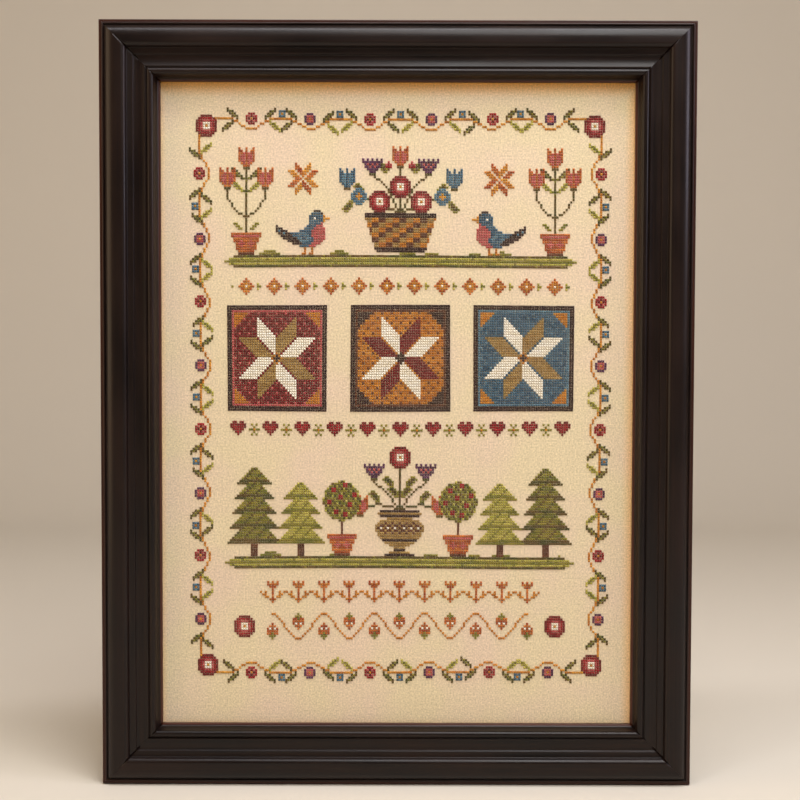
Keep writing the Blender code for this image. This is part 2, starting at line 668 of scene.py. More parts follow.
SPRAY = """
..mm..
.mddm.
mddm..
mdm...
mm....
""".split()
BIRD = """
................uuu.....
...............ssssu....
..............ssssssg...
..............sswsssggg.
..............ssssssg...
..............sssssk....
u............sssskkk....
uuu.........sssskkkkk...
uSuuu.....ssssskkkkkk...
.uuSuusssSSSSsskkkkkk...
..uuuuussSssSSskkkkkk...
...uuuuuuSSssSSskkkkk...
.....uuuuuSSSSsskkkk....
.......uuuusssskkkk.....
..........sssskkk.......
............o..o........
............o..o........
...........oo.oo........
""".split()
POT = """
rrrrrrrrrrrrr
rkkkkkkkkkkkr
.rrrrrrrrrrr.
.rrrkrrrkrrr.
..rkkkrkkkr..
..rrkrrrkrr..
..rrrrrrrrr..
...rrrrrrr...
...bbbbbbb...
""".split()
URN_HALF = """
uuuuuuuuu..
tttttttttt.
uuuuuuuuu..
tttttt.....
ttttttttt..
bttbttbttt.
tbbtbbtbbtt
btwbtwbtwbt
tbbtbbtbbtt
bttbttbttt.
tttttttttt.
ttttttttt..
uuuuuuuu...
ttttttt....
ttttt......
ttt........
uuu........
ttttt......
uuuuuuu....
""".split()
DIAMOND_BAND = """
......r.....
.....ror....
....rogor..l
m..rogwgor.m
....rogor..l
.....ror....
......r.....
""".split()
HEART_BAND = """
.RR.RR........
RBBRBBR..m.m..
RBBBBBR...m...
.RBBBR..mmgmm.
..RBR.....m...
...R.....m.m..
""".split()
SPRIG_BAND = """
...r.r.r...
...roror...
....rrr....
.....r.....
o.o..r..o.o
.oo..r..oo.
..oo.r.oo..
....oro....
.....r.....
""".split()
STRAWBERRY = """
..m..
.mmm.
rrmrr
rrrrr
rwrwr
.rrr.
..r..
""".split()


class Side(Enum):
    """The four sides of the vine border."""

    TOP = "top"
    BOTTOM = "bottom"
    LEFT = "left"
    RIGHT = "right"


@dataclass
class Chart:
    """Which floss each crossing of the linen takes. Columns count from the middle, and rows from the top."""

    cells: dict[Cell, Floss] = field(default_factory=dict)

    def put(self, column: int, row: int, floss: Floss) -> None:
        """Sets one stitch."""
        self.cells[(column, row)] = floss

    def motif(self, rows: Motif, column: int, row: int, flip: bool = False, turn: bool = False) -> None:
        """Stitches a charted motif.

        Args:
            rows: the motif.
            column: its first column.
            row: its first row.
            flip: whether it is mirrored from side to side.
            turn: whether it is mirrored from top to bottom.
        """
        for down, line in enumerate(reversed(rows) if turn else rows):
            for across, letter in enumerate(reversed(line) if flip else line):
                if letter != ".":
                    self.put(column + across, row + down, Floss(letter))

    def centred(self, rows: Motif, column: int, row: int) -> None:
        """A motif about a middle column and row."""
        self.motif(rows, column - len(rows[0]) // 2, row - len(rows) // 2)

    def mirrored(self, rows: Motif, column: int, row: int, turn: bool = False) -> None:
        """A motif and its mirror image on the other side of the middle, both turned over if asked."""
        self.motif(rows, column, row, turn=turn)
        self.motif(rows, 1 - column - len(rows[0]), row, flip=True, turn=turn)

    def band(self, rows: Motif, row: int, half_width: int) -> None:
        """Repeats a motif in a band.

        Args:
            rows: the motif.
            row: the band's first row.
            half_width: how far it reaches to each side of the middle.
        """
        for column in range(-half_width, half_width + 1):
            for down, line in enumerate(rows):
                letter = line[(column + half_width) % len(line)]
                if letter != ".":
                    self.put(column, row + down, Floss(letter))

    def line(self, points: list[Cell], floss: Floss) -> None:
        """A line of stitches.

        Args:
            points: the columns and rows that it runs through.
            floss: its floss.
        """
        for (c0, r0), (c1, r1) in zip(points, points[1:]):
            steps = max(abs(c1 - c0), abs(r1 - r0), 1)
            for i in range(steps + 1):
                share = i / steps
                self.put(round(c0 + (c1 - c0) * share), round(r0 + (r1 - r0) * share), floss)


def square(half: int) -> list[Cell]:
    """The places of a square, each across and down from its middle."""
    return [(x, y) for x in range(-half, half + 1) for y in range(-half, half + 1)]


@dataclass
class VineBorder(Chart):
    """The vine round the edge of the sampler, with its leaves, posies and knots, and a rose at each corner.

    Each leaf is given by its stitches away from the middle of a dip and whether it grows outwards.
    """

    half_width: int = 86
    top: int = 6
    bottom: int = 230
    corner: int = 9
    rose_out: int = 6
    swing: int = 4
    dip_share: float = 0.38
    repeats_level: int = 6
    repeats_upright: int = 8
    leaves: tuple[tuple[int, bool], ...] = ((6, True), (8, False))
    knot_out: int = 2

    def cell(self, side: Side, along: int, inward: int) -> Cell:
        """Finds a place on a side.

        Args:
            side: the side.
            along: the place's column or row along the side.
            inward: how far in from the side it is.

        Returns:
            Its column and row.
        """
        if side is Side.TOP:
            return (along, self.top + inward)
        if side is Side.BOTTOM:
            return (along, self.bottom - inward)
        if side is Side.LEFT:
            return (-self.half_width + inward, along)
        return (self.half_width - inward, along)

    def leaf(self, side: Side, along: int, inward: int, outer: bool, forward: bool) -> None:
        """A leaf that springs from the vine.

        Args:
            side: the side of the border.
            along: how far along the side its stem is.
            inward: how far in from the side its stem is.
            outer: whether it grows outwards.
            forward: whether it points to the right or downwards.
        """
        column, row = self.cell(side, along, inward - 1 if outer else inward + 1)
        if side in (Side.TOP, Side.BOTTOM):
            right = forward
            up = outer == (side is Side.TOP)
        else:
            right = outer == (side is Side.RIGHT)
            up = not forward
        rows = LEAF if outer or (along // 2) % 3 == 0 else LIGHT_LEAF
        first_column = column if right else column - len(rows[0]) + 1
        first_row = row - len(rows) + 1 if up else row
        self.motif(rows, first_column, first_row, flip=not right, turn=not up)

    def run(self, side: Side) -> None:
        """Stitches one side, where the vine dips inwards round a posy in each repeat.

        Args:
            side: the side.
        """
        level = side in (Side.TOP, Side.BOTTOM)
        centre = 0 if level else (self.top + self.bottom) // 2
        reach = (self.half_width if level else (self.bottom - self.top) // 2) - self.corner
        repeats = self.repeats_level if level else self.repeats_upright
        step = 2 * reach / repeats
        dips = {}
        for i in range(-reach, reach + 1):
            share = ((i + reach) / step) % 1.0
            bend = min(1.0, abs(share - 0.5) / self.dip_share)
            dips[i] = round(self.swing * (1.0 + math.cos(math.pi * bend)) / 2)
            self.put(*self.cell(side, centre + i, dips[i]), Floss.OCHRE if (i // 3) % 3 == 0 else Floss.GOLD)
        for repeat in range(repeats):
            at = -reach + round((repeat + 0.5) * step)
            for sign in (-1, 1):
                for away, outer in self.leaves:
                    along = at + sign * away
                    self.leaf(side, centre + along, dips[along], outer, sign > 0)
            self.centred(PLUM_POSY if repeat % 2 else POSY, *self.cell(side, centre + at, 0))
            if repeat:
                halfway = round(repeat * step - reach)
                self.centred(BLUE_KNOT, *self.cell(side, centre + halfway, -self.knot_out))

    def corners(self) -> None:
        """The four rounded corners, each with a rose on the vine."""
        for sx, sy in CORNERS:
            column = sx * (self.half_width - self.corner)
            row = self.top + self.corner if sy < 0 else self.bottom - self.corner
            for degrees in range(0, 91, 4):
                angle = math.radians(degrees)
                across = round(sx * self.corner * math.cos(angle))
                down = round(sy * self.corner * math.sin(angle))
                self.put(column + across, row + down, Floss.GOLD)
            self.centred(ROSE, column + sx * self.rose_out, row + sy * self.rose_out)

    def stitch(self) -> None:
        """Stitches the whole border."""
        for side in Side:
            self.run(side)
        self.corners()


@dataclass(frozen=True)
class BlockTones:
    """The flosses of one patchwork block."""

    ground: Floss
    seed: Floss
    one: Floss
    two: Floss
    corner: Floss
    sashing: Floss = Floss.UMBER


@dataclass
class SamplerDesign(Chart):
    """A band sampler: a basket, birds, patchwork stars, firs and repeats inside a vine.

    Each band is placed by one row, its ground, its middle or its first row.
    """

    half_width: int = 75
    garden_ground: int = 61
    patchwork_middle: int = 102
    block_half: int = 21
    block_apart: int = 53
    orchard_ground: int = 183
    fir_rows: int = 7
    fir_step: int = 6
    trunk: int = 5
    sprigs_row: int = 193
    stem_row: int = 206
    stem_half: int = 55
    stem_repeat: int = 22
    stem_swing: int = 5
    turf_waves: tuple[Triple, ...] = ((1.2, 5.0, 0.0), (0.9, 2.3, 1.0))
    border: VineBorder = field(default_factory=VineBorder)

    def star(self, column: int, row: int, petal: int, one: Floss, two: Floss) -> None:
        """An eight-pointed star.

        Args:
            column: its middle column.
            row: its middle row.
            petal: how many stitches the side of a petal has.
            one: the floss of every other petal.
            two: the floss of the petals between.
        """
        for x in range(2 * petal + 1):
            for y in range(2 * petal + 1):
                first = x <= petal and x < y <= x + petal
                second = y <= petal and y < x <= y + petal
                if first or second:
                    for sx, sy in CORNERS:
                        self.put(column + sx * x, row + sy * y, one if first == (sx * sy > 0) else two)

    def block(self, column: int, row: int, tones: BlockTones) -> None:
        """A patchwork block: a star on a seeded ground, in a dark sashing.

        Args:
            column: its middle column.
            row: its middle row.
            tones: its flosses.
        """
        half = self.block_half
        for x, y in square(half):
            ring = half - max(abs(x), abs(y))
            seeded = (x % 4, y % 4) in ((0, 2), (2, 0)) or ring == 2
            tone = tones.sashing if ring < 2 else tones.seed if seeded else tones.ground
            self.put(column + x, row + y, tone)
        for sx, sy in CORNERS:
            for x in range(6):
                for y in range(6 - x):
                    self.put(column + sx * (half - 3 - x), row + sy * (half - 3 - y), tones.corner)
        self.star(column, row, (half - 5) // 2, tones.one, tones.two)
        for x, y in square(2):
            away = abs(x) + abs(y)
            if away <= 2:
                self.put(column + x, row + y, tones.sashing if away < 2 else tones.corner)

    def fir(self, column: int, foot: int, tiers: int, floss: Floss, under: Floss) -> None:
        """A fir: tiers of boughs that widen downwards, on a short trunk.

        Args:
            column: its middle column.
            foot: the row of its foot.
            tiers: how many tiers it has.
            floss: the floss of its boughs.
            under: the floss below each tier and in its shade.
        """
        for tier in range(tiers):
            top = foot - self.trunk - self.fir_step * (tiers - tier)
            for down in range(self.fir_rows):
                half = 1 + tier + down
                for x in range(-half, half + 1):
                    shady = down >= self.fir_rows - 2 or (x + down) % 5 == 0
                    self.put(column + x, top + down, under if shady else floss)
        for up in range(self.trunk):
            for x in (-1, 0, 1):
                self.put(column + x, foot - up, Floss.BROWN)

    def turf(self, row: int) -> None:
        """A strip of turf in greens, with an uneven upper edge and stepped ends.

        Args:
            row: its first whole row.
        """
        layers = (Floss.OLIVE, Floss.SAGE, Floss.MOSS, Floss.SAGE, Floss.OLIVE)
        for column in range(-self.half_width, self.half_width + 1):
            waves = (high * math.sin(column / length + start) for high, length, start in self.turf_waves)
            for down in range(-max(0, round(sum(waves))), len(layers)):
                if abs(column) <= self.half_width - 2 * abs(down - 2):
                    speckled = (column * 7 + down * 3) % 11 == 0
                    self.put(column, row + down, Floss.MOSS if down < 0 or speckled else layers[down])

    def basket(self, row: int) -> None:
        """A woven basket in the middle, with a rim and a foot.

        Args:
            row: its first row.
        """
        for down in range(16):
            half = 15 - down // 3
            for x in range(-half, half + 1):
                weave = (Floss.OCHRE, Floss.BROWN, Floss.TAN)[((x // 3) + (down // 2)) % 3]
                self.put(x, row + down, Floss.UMBER if down < 2 or down > 13 else weave)

    def sprays(self, places: tuple[Cell, ...], row: int, turn: bool = False) -> None:
        """Sprays of leaf, mirrored about the middle.

        Args:
            places: for each, its column and its row below the first.
            row: the first row.
            turn: whether they hang.
        """
        for column, down in places:
            self.mirrored(SPRAY, column, row + down, turn)

    def stems(self, lines: tuple[tuple[Cell, ...], ...], row: int) -> None:
        """Stems, mirrored about the middle.

        Args:
            lines: for each, the columns and the rows below the first that it runs through.
            row: the first row.
        """
        for line in lines:
            for side in (-1, 1):
                self.line([(side * column, row + down) for column, down in line], Floss.OLIVE)

    def flower_basket(self, row: int) -> None:
        """The basket of flowers in the first band.

        Args:
            row: its first row.
        """
        self.stems((((0, 27), (6, 16), (12, 11)), ((0, 27), (12, 21), (18, 21)), ((0, 27), (0, 9))), row)
        self.sprays(((6, 6), (16, 15), (8, 20)), row)
        self.sprays(((21, 22),), row, turn=True)
        self.motif(ROSE, -4, row + 12)
        self.motif(TULIP, -3, row)
        self.mirrored(CARNATION, 8, row + 5)
        self.mirrored(DAISY, 15, row + 17)
        self.mirrored(BUD, 4, row + 6)
        self.mirrored(ROSE, 5, row + 18)
        self.mirrored(BLUE_TULIP, 20, row + 9)
        self.basket(row + 27)

    def urn(self, row: int) -> None:
        """The urn of carnations in the lower band.

        Args:
            row: its first row.
        """
        self.stems((((0, 24), (0, 6)), ((0, 25), (6, 18), (11, 14)), ((0, 25), (10, 23), (16, 26))), row)
        self.sprays(((3, 12), (9, 18), (1, 16)), row)
        self.motif(ROSE, -4, row)
        self.mirrored(CARNATION, 7, row + 7)
        self.mirrored(TULIP, 14, row + 20)
        self.mirrored(URN_HALF, 0, row + 26)

    def potted_tulips(self, column: int, foot: int) -> None:
        """A pot with three tulips on curved stems.

        Args:
            column: its middle column.
            foot: the row of its foot.
        """
        top = foot - 42
        self.line([(column, foot - 8), (column, top + 8)], Floss.OLIVE)
        for side in (-1, 1):
            bend = ((0, 14), (4, 17), (8, 22), (8, 25))
            self.line([(column + side * across, foot - up) for across, up in bend], Floss.OLIVE)
            for leaf, up in ((LIGHT_LEAF, 24), (LEAF, 29)):
                self.line([(column, foot - up), (column + side * 2, foot - up - 2)], Floss.MOSS)
                self.motif(leaf, column + (2 if side > 0 else -6), foot - up - 5, flip=side < 0)
            self.motif(TULIP, column + side * 8 - 3, foot - 34)
            for k in range(3):
                for across in (2, 3):
                    self.put(column + side * (across + k), foot - 10 - k, Floss.MOSS)
        self.motif(TULIP, column - 3, top)
        self.motif(POT, column - 6, foot - 8)

    def potted_tree(self, column: int, foot: int) -> None:
        """A clipped round tree with berries, in a pot.

        Args:
            column: its middle column.
            foot: the row of its foot.
        """
        centre, radius = foot - 22, 8
        self.line([(column, foot - 9), (column, centre)], Floss.BROWN)
        for x, y in square(radius):
            if x * x + y * y <= radius * radius + 2:
                tone = (Floss.MOSS, Floss.OLIVE, Floss.MOSS, Floss.SAGE)[(x * 3 + y * 5) % 7 // 2]
                self.put(column + x, centre + y, tone)
        for x, y in ((-4, -4), (1, -6), (5, -2), (-1, -1), (-6, 1), (3, 2), (-3, 5), (1, 6)):
            for across, down in ((0, 0), (1, 0), (0, 1), (1, 1)):
                self.put(column + x + across, centre + y + down - 1, Floss.BERRY_RED)
        self.motif(POT, column - 6, foot - 8)

    def garden(self) -> None:
        """The first band: the basket between birds, stars and pots."""
        ground = self.garden_ground
        self.turf(ground)
        self.flower_basket(ground - 44)
        self.mirrored(BIRD, -53, ground - len(BIRD))
        for side in (-1, 1):
            self.potted_tulips(side * 66, ground - 1)
            self.star(side * 42, ground - 31, 3, Floss.RUST, Floss.GOLD)

    def patchwork(self) -> None:
        """The middle band: three patchwork stars between two rows of repeats."""
        middle = self.patchwork_middle
        self.band(DIAMOND_BAND, middle - 32, 72)
        blocks = (
            BlockTones(Floss.BARN_RED, Floss.ROSE, Floss.CREAM, Floss.TAN, Floss.OCHRE),
            BlockTones(Floss.OCHRE, Floss.BROWN, Floss.CREAM, Floss.BARN_RED, Floss.UMBER),
            BlockTones(Floss.SLATE, Floss.PALE_SLATE, Floss.CREAM, Floss.TAN, Floss.OCHRE),
        )
        for place, tones in zip((-1, 0, 1), blocks):
            self.block(place * self.block_apart, middle, tones)
        self.band(HEART_BAND, middle + 26, 73)

    def orchard(self) -> None:
        """The lower band: the urn between clipped trees and firs."""
        ground = self.orchard_ground
        self.turf(ground)
        self.urn(ground - 45)
        for side in (-1, 1):
            self.fir(side * 63, ground - 1, 5, Floss.MOSS, Floss.OLIVE)
            self.fir(side * 43, ground - 1, 4, Floss.SAGE, Floss.MOSS)
            self.potted_tree(side * 25, ground - 1)

    def running_stem(self) -> None:
        """A stem that waves across the linen, with a strawberry in each bend."""
        bend = self.stem_repeat // 2
        points = []
        for column in range(-self.stem_half, self.stem_half + 1):
            down = 5 + round(self.stem_swing * math.cos(math.pi * column / bend))
            points.append((column, self.stem_row + down))
        self.line(points, Floss.OCHRE)
        reach = self.stem_half // bend
        for turn in range(-reach, reach + 1):
            hangs = turn % 2 == 0
            self.motif(STRAWBERRY, turn * bend - 2, self.stem_row + (0 if hangs else 4), turn=not hangs)

    def stitch(self) -> None:
        """Stitches the whole sampler, the border first and then the bands from the top."""
        self.border.stitch()
        self.cells.update(self.border.cells)
        self.garden()
        self.patchwork()
        self.orchard()
        self.band(SPRIG_BAND, self.sprigs_row, 60)
        self.running_stem()
        for side in (-1, 1):
            self.motif(ROSE, side * 67 - 4, self.stem_row + 1)


def nothing_selected() -> None:
    """Leaves edit mode and clears the selection."""
    if bpy.context.object is not None and bpy.context.object.mode != "OBJECT":
        bpy.ops.object.mode_set(mode="OBJECT")
    bpy.ops.object.select_all(action="DESELECT")


def only(piece: Piece) -> None:
    """Selects one piece and makes it active.

    Args:
        piece: the piece.
    """
    nothing_selected()
    piece.select_set(True)
    bpy.context.view_layer.objects.active = piece


def settle(piece: Piece) -> None:
    """Puts a piece's place, turn and scale into its mesh."""
    only(piece)
    bpy.ops.object.transform_apply(location=True, rotation=True, scale=True)


def dress(piece: Piece, finish: Material) -> None:
    """Gives a piece one finish."""
    piece.data.materials.clear()
    piece.data.materials.append(finish)


def linked(name: str, data: bpy.types.ID) -> Piece:
    """Makes an object for some data and puts it in the scene.

    Args:
        name: the object's name.
        data: its mesh, light or camera.

    Returns:
        The object.
    """
    made = bpy.data.objects.new(name, data)
    bpy.context.scene.collection.objects.link(made)
    return made


@dataclass(frozen=True)
class RailSide:
    """One rail: its solid, how it lies, where its outer edge is, and which way its inner edge is."""

    node: str
    level: bool
    outer: float
    inwards: int


@dataclass
class Moulding:
    """The four mitred rails, their mitres brought closer together and eased, with the grain along each."""

    same_point: float = 0.000002
    flat_angle: float = math.radians(0.4)
    arris: float = 0.00006
    closer: float = 0.00017
    cut_in: float = 0.0009
    sharp_angle: float = math.radians(32)
    mitre_normal: Span = (0.6, 0.8)
    grain_shift: float = 0.7
    finish: EspressoWood = EspressoWood()

    def rail(self, side: RailSide) -> Piece:
        """Makes a rail from its solid.

        Args:
            side: where it lies.

        Returns:
            The rail.
        """
        piece = linked(f"moulding_{side.node[5:]}", frame["nodes"][side.node].data.copy())
        only(piece)
        bpy.ops.object.mode_set(mode="EDIT")
        bpy.ops.mesh.select_all(action="SELECT")
        bpy.ops.mesh.remove_doubles(threshold=self.same_point)
        bpy.ops.mesh.dissolve_limited(angle_limit=self.flat_angle)
        self.ease_mitres(piece, side.level)
        bpy.ops.object.mode_set(mode="OBJECT")
        bpy.ops.object.shade_smooth_by_angle(angle=self.sharp_angle)
        weights = piece.modifiers.new("flat_faces_lead", "WEIGHTED_NORMAL")
        weights.keep_sharp = True
        weights.weight = 100
        bpy.ops.object.modifier_apply(modifier=weights.name)
        self.lay_grain(piece, side)
        return piece

    def ease_mitres(self, piece: Piece, level: bool) -> None:
        """Moves the mitred ends outwards, eases their edges, and cuts the rail beside them, in edit mode.

        Args:
            piece: the rail.
            level: whether it lies level.
        """
        for end in (-1, 1):
            self.pick_mitres(piece, level, (end,))
            step = end * self.closer
            bpy.ops.transform.translate(value=(step, 0.0, 0.0) if level else (0.0, 0.0, step))
        self.pick_mitres(piece, level, (-1, 1))
        bpy.ops.mesh.region_to_loop()
        bpy.ops.mesh.bevel(offset=self.arris, segments=1, affect="EDGES")
        for sx, sz in CORNERS:
            self.cut_beside_mitre(level, sx, sz)

    def pick_mitres(self, piece: Piece, level: bool, ends: tuple[int, ...]) -> None:
        """Selects a rail's mitred faces, in edit mode.

        Args:
            piece: the rail.
            level: whether it lies level.
            ends: the ends to select, -1 or 1 for each.
        """
        middle = (CAD_BOX[0] + CAD_BOX[1]) / 2
        least, most = self.mitre_normal
        bpy.ops.mesh.select_all(action="DESELECT")
        bpy.ops.object.mode_set(mode="OBJECT")
        for face in piece.data.polygons:
            away = face.center - middle
            end = math.copysign(1, away.x if level else away.z)
            mitred = abs(face.normal.y) < 0.01 and least < abs(face.normal.x) < most
            face.select = mitred and end in ends
        bpy.ops.object.mode_set(mode="EDIT")

    def cut_beside_mitre(self, level: bool, sx: int, sz: int) -> None:
        """Cuts the rail a little way in from one mitre, so that the eased end doesn't bend the long shading.

        Args:
            level: whether the rail lies level.
            sx: the corner's side, -1 or 1.
            sz: the corner's end, -1 or 1.
        """
        low, high = CAD_BOX
        corner = Vector((high.x if sx > 0 else low.x, 0.0, high.z if sz > 0 else low.z))
        along = Vector((-sx, 0.0, sz) if level else (sx, 0.0, -sz)).normalized()
        bpy.ops.mesh.select_all(action="SELECT")
        bpy.ops.mesh.bisect(plane_co=corner + along * self.cut_in, plane_no=along)

    def lay_grain(self, piece: Piece, side: RailSide) -> None:
        """Writes each point's place along the rail, across it and up from the wall.

        Args:
            piece: the rail.
            side: where it lies.
        """
        grain = piece.data.attributes.new("grain", "FLOAT_VECTOR", "POINT")
        shift = self.grain_shift * len(bpy.data.objects)
        for index, vertex in enumerate(piece.data.vertices):
            along, across = (vertex.co.x, vertex.co.z) if side.level else (vertex.co.z, vertex.co.x)
            grain.data[index].vector = (along + shift, (across - side.outer) * side.inwards, -vertex.co.y)

    def build(self) -> list[Piece]:
        """Builds and dresses the rails.

        Returns:
            The four rails.
        """
        low, high = CAD_BOX
        finish = self.finish.material()
        sides = (
            RailSide("rail_top", True, high.z, -1),
            RailSide("rail_bottom", True, low.z, 1),
            RailSide("rail_left", False, low.x, 1),
            RailSide("rail_right", False, high.x, -1),
        )
        rails = []
        for side in sides:
            rail = self.rail(side)
            dress(rail, finish)
            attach(rail, BODY)
            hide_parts(side.node)
            rails.append(rail)
        return rails


@dataclass
class StretchedLinen:
    """The linen, stretched flat over the board and a little uneven."""

    columns: int = 104
    rows: int = 140
    ripple: float = 0.00022
    ripple_size: float = 0.035
    finish: EvenweaveLinen = EvenweaveLinen()

    def build(self) -> Piece:
        """Builds and dresses the cloth.

        Returns:
            The cloth.
        """
        low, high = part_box("linen")
        width, height, thick = high.x - low.x, high.z - low.z, high.y - low.y
        nothing_selected()
        bpy.ops.mesh.primitive_grid_add(
            x_subdivisions=self.columns,
            y_subdivisions=self.rows,
            size=1.0,
            location=((low.x + high.x) / 2, low.y + thick / 2, (low.z + high.z) / 2),
            rotation=(math.pi / 2, 0.0, 0.0),
        )
        cloth = bpy.context.object
        cloth.name = "stretched_linen"
        cloth.scale = (width, height, 1.0)
        settle(cloth)
        clouds = bpy.data.textures.new("linen_ripple", "CLOUDS")
        clouds.noise_scale = self.ripple_size
        sag = cloth.modifiers.new("ripple", "DISPLACE")
        sag.texture = clouds
        sag.texture_coords = "LOCAL"
        sag.strength = self.ripple
        sag.mid_level = 0.5
        body = cloth.modifiers.new("thickness", "SOLIDIFY")
        body.thickness = thick - self.ripple
        body.offset = 0.0
        only(cloth)
        for modifier in ("ripple", "thickness"):
            bpy.ops.object.modifier_apply(modifier=modifier)
        bpy.ops.object.shade_smooth()
        dress(cloth, self.finish.material())
        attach(cloth, BODY)
        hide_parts("linen")
        return cloth


@dataclass
class StitchWork:
    """The counted stitches, each a real pair of crossed threads, as one piece for each floss."""

    pitch_across: float = 0.00164
    pitch_up: float = 0.001745
    height_share: float = 0.97
    shift_across: float = 0.0021
    first_row_down: float = 0.0562
    thread_width: float = 0.00043
    thread_flatness: float = 0.62
    shoulder: float = 0.55
    shoulder_width: float = 0.92
    shoulder_drop: float = 0.25
    sunk: float = 0.00020
    lift_under: float = 0.00018
    lift_over: float = 0.00042
    tilt: float = math.radians(2.6)
    jitter: float = 0.00004
    sway: float = 0.00035
    sway_length: float = 0.045
    sway_slant: Span = (2.0, 1.3)
    most_in_piece: int = 4000

    def tip(self, along: float, drop: float) -> None:
        """Draws the selected end of a thread out to a point, which sinks into the linen."""
        bpy.ops.mesh.extrude_region_move(TRANSFORM_OT_translate={"value": (along, drop, 0.0)})
        bpy.ops.mesh.merge(type="CENTER")

    def thread(self, name: str, rising: bool, lift: float) -> Piece:
        """One thread of the stitch, from hole to hole, arched over the linen.

        Args:
            name: the object's name.
            rising: whether it runs up to the right.
            lift: how far its middle stands off the linen.

        Returns:
            The thread.
        """
        height = self.pitch_up * self.height_share
        half = math.hypot(self.pitch_across, height) / 2
        reach = half * self.shoulder
        drop = lift * self.shoulder_drop
        rise = lift * (1 - self.shoulder_drop)
        nothing_selected()
        bpy.ops.mesh.primitive_circle_add(
            vertices=4,
            radius=self.thread_width * self.shoulder_width,
            fill_type="NGON",
            location=(-reach, -rise, 0.0),
            rotation=(0.0, math.pi / 2, 0.0),
        )
        leg = bpy.context.object
        leg.name = name
        settle(leg)
        bpy.ops.object.mode_set(mode="EDIT")
        bpy.ops.mesh.select_all(action="SELECT")
        bpy.ops.transform.resize(value=(1.0, self.thread_flatness, 1.0))
        for down, scale in ((-drop, 1 / self.shoulder_width), (drop, self.shoulder_width)):
            bpy.ops.mesh.extrude_region_move(TRANSFORM_OT_translate={"value": (reach, down, 0.0)})
            bpy.ops.transform.resize(value=(scale, scale, scale))
        self.tip(half - reach, rise + self.sunk)
        bpy.ops.mesh.select_all(action="DESELECT")
        bpy.ops.object.mode_set(mode="OBJECT")
        for vertex in leg.data.vertices:
            vertex.select = vertex.co.x < -reach * 0.99
        bpy.ops.object.mode_set(mode="EDIT")
        bpy.ops.mesh.select_mode(type="VERT")
        self.tip(reach - half, rise + self.sunk)
        bpy.ops.mesh.select_all(action="SELECT")
        bpy.ops.mesh.normals_make_consistent(inside=False)
        bpy.ops.object.mode_set(mode="OBJECT")
        twist = leg.data.attributes.new("twist", "FLOAT_VECTOR", "POINT")
        for index, vertex in enumerate(leg.data.vertices):
            twist.data[index].vector = vertex.co
        slope = math.atan2(height, self.pitch_across)
        leg.rotation_euler = (0.0, -slope if rising else slope, 0.0)
        settle(leg)
        bpy.ops.object.shade_smooth()
        return leg

    def stitch(self) -> Piece:
        """One whole stitch, its under thread rising and its over thread falling.

        Returns:
            The stitch.
        """
        under = self.thread("stitch", True, self.lift_under)
        over = self.thread("over_thread", False, self.lift_over)
        only(under)
        over.select_set(True)
        bpy.ops.object.join()
        return under

    def scatter(self, stitch: Piece) -> bpy.types.GeometryNodeTree:
        """The node group that sets a stitch at each point, at its own tilt, and makes it real.

        Args:
            stitch: the stitch to repeat.

        Returns:
            The node group.
        """
        tree = bpy.data.node_groups.new("stitches_at_points", "GeometryNodeTree")
        for way in ("INPUT", "OUTPUT"):
            tree.interface.new_socket("Geometry", in_out=way, socket_type="NodeSocketGeometry")
        start = tree.nodes.new("NodeGroupInput")
        end = tree.nodes.new("NodeGroupOutput")
        info = tree.nodes.new("GeometryNodeObjectInfo")
        info.inputs["Object"].default_value = stitch
        tilt = tree.nodes.new("GeometryNodeInputNamedAttribute")
        tilt.data_type = "FLOAT_VECTOR"
        tilt.inputs["Name"].default_value = "tilt"
        place = tree.nodes.new("GeometryNodeInstanceOnPoints")
        real = tree.nodes.new("GeometryNodeRealizeInstances")
        tree.links.new(start.outputs[0], place.inputs["Points"])
        tree.links.new(info.outputs["Geometry"], place.inputs["Instance"])
        tree.links.new(tilt.outputs["Attribute"], place.inputs["Rotation"])
        tree.links.new(place.outputs["Instances"], real.inputs["Geometry"])
        tree.links.new(real.outputs["Geometry"], end.inputs[0])
        return tree

    def point(self, cell: Cell, front: float, draws: random.Random) -> Triple:
        """Finds a stitch's place on the linen, a little astray.

        Args:
            cell: its column and row.
            front: where the linen's face is.
            draws: where its random share comes from.

        Returns:
            Its place.
        """
        x = self.shift_across + cell[0] * self.pitch_across
        z = CAD_BOX[1].z - self.first_row_down - cell[1] * self.pitch_up
        sway_x = self.sway * math.sin(z / self.sway_length + self.sway_slant[0] * x / self.sway_length)
        sway_z = self.sway * math.sin(x / self.sway_length + self.sway_slant[1] * z / self.sway_length)
        stray_x = draws.uniform(-self.jitter, self.jitter)
        stray_z = draws.uniform(-self.jitter, self.jitter)
        return (x + sway_x + stray_x, front, z + sway_z + stray_z)

    def piece(self, name: str, places: list[Cell], tree: bpy.types.NodeTree, finish: Material) -> Piece:
        """The stitches of one floss.

        Args:
            name: the piece's name.
            places: the stitches' columns and rows.
            tree: the node group that sets a stitch at each point.
            finish: the floss.

        Returns:
            The piece.
        """
        draws = random.Random(f"{SEED} {name}")
        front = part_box("linen")[0].y
        points = [self.point(cell, front, draws) for cell in places]
        mesh = bpy.data.meshes.new(name)
        mesh.from_pydata(points, [], [])
        shade = mesh.attributes.new("shade", "FLOAT", "POINT")
        tilt = mesh.attributes.new("tilt", "FLOAT_VECTOR", "POINT")
        for index in range(len(points)):
            shade.data[index].value = draws.random()
            tilt.data[index].vector = [draws.gauss(0.0, self.tilt) for _ in range(3)]
        piece = linked(name, mesh)
        modifier = piece.modifiers.new("stitches", "NODES")
        modifier.node_group = tree
        only(piece)
        bpy.ops.object.modifier_apply(modifier=modifier.name)
        piece.data.attributes.remove(piece.data.attributes["tilt"])
        dress(piece, finish)
        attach(piece, BODY)
        return piece

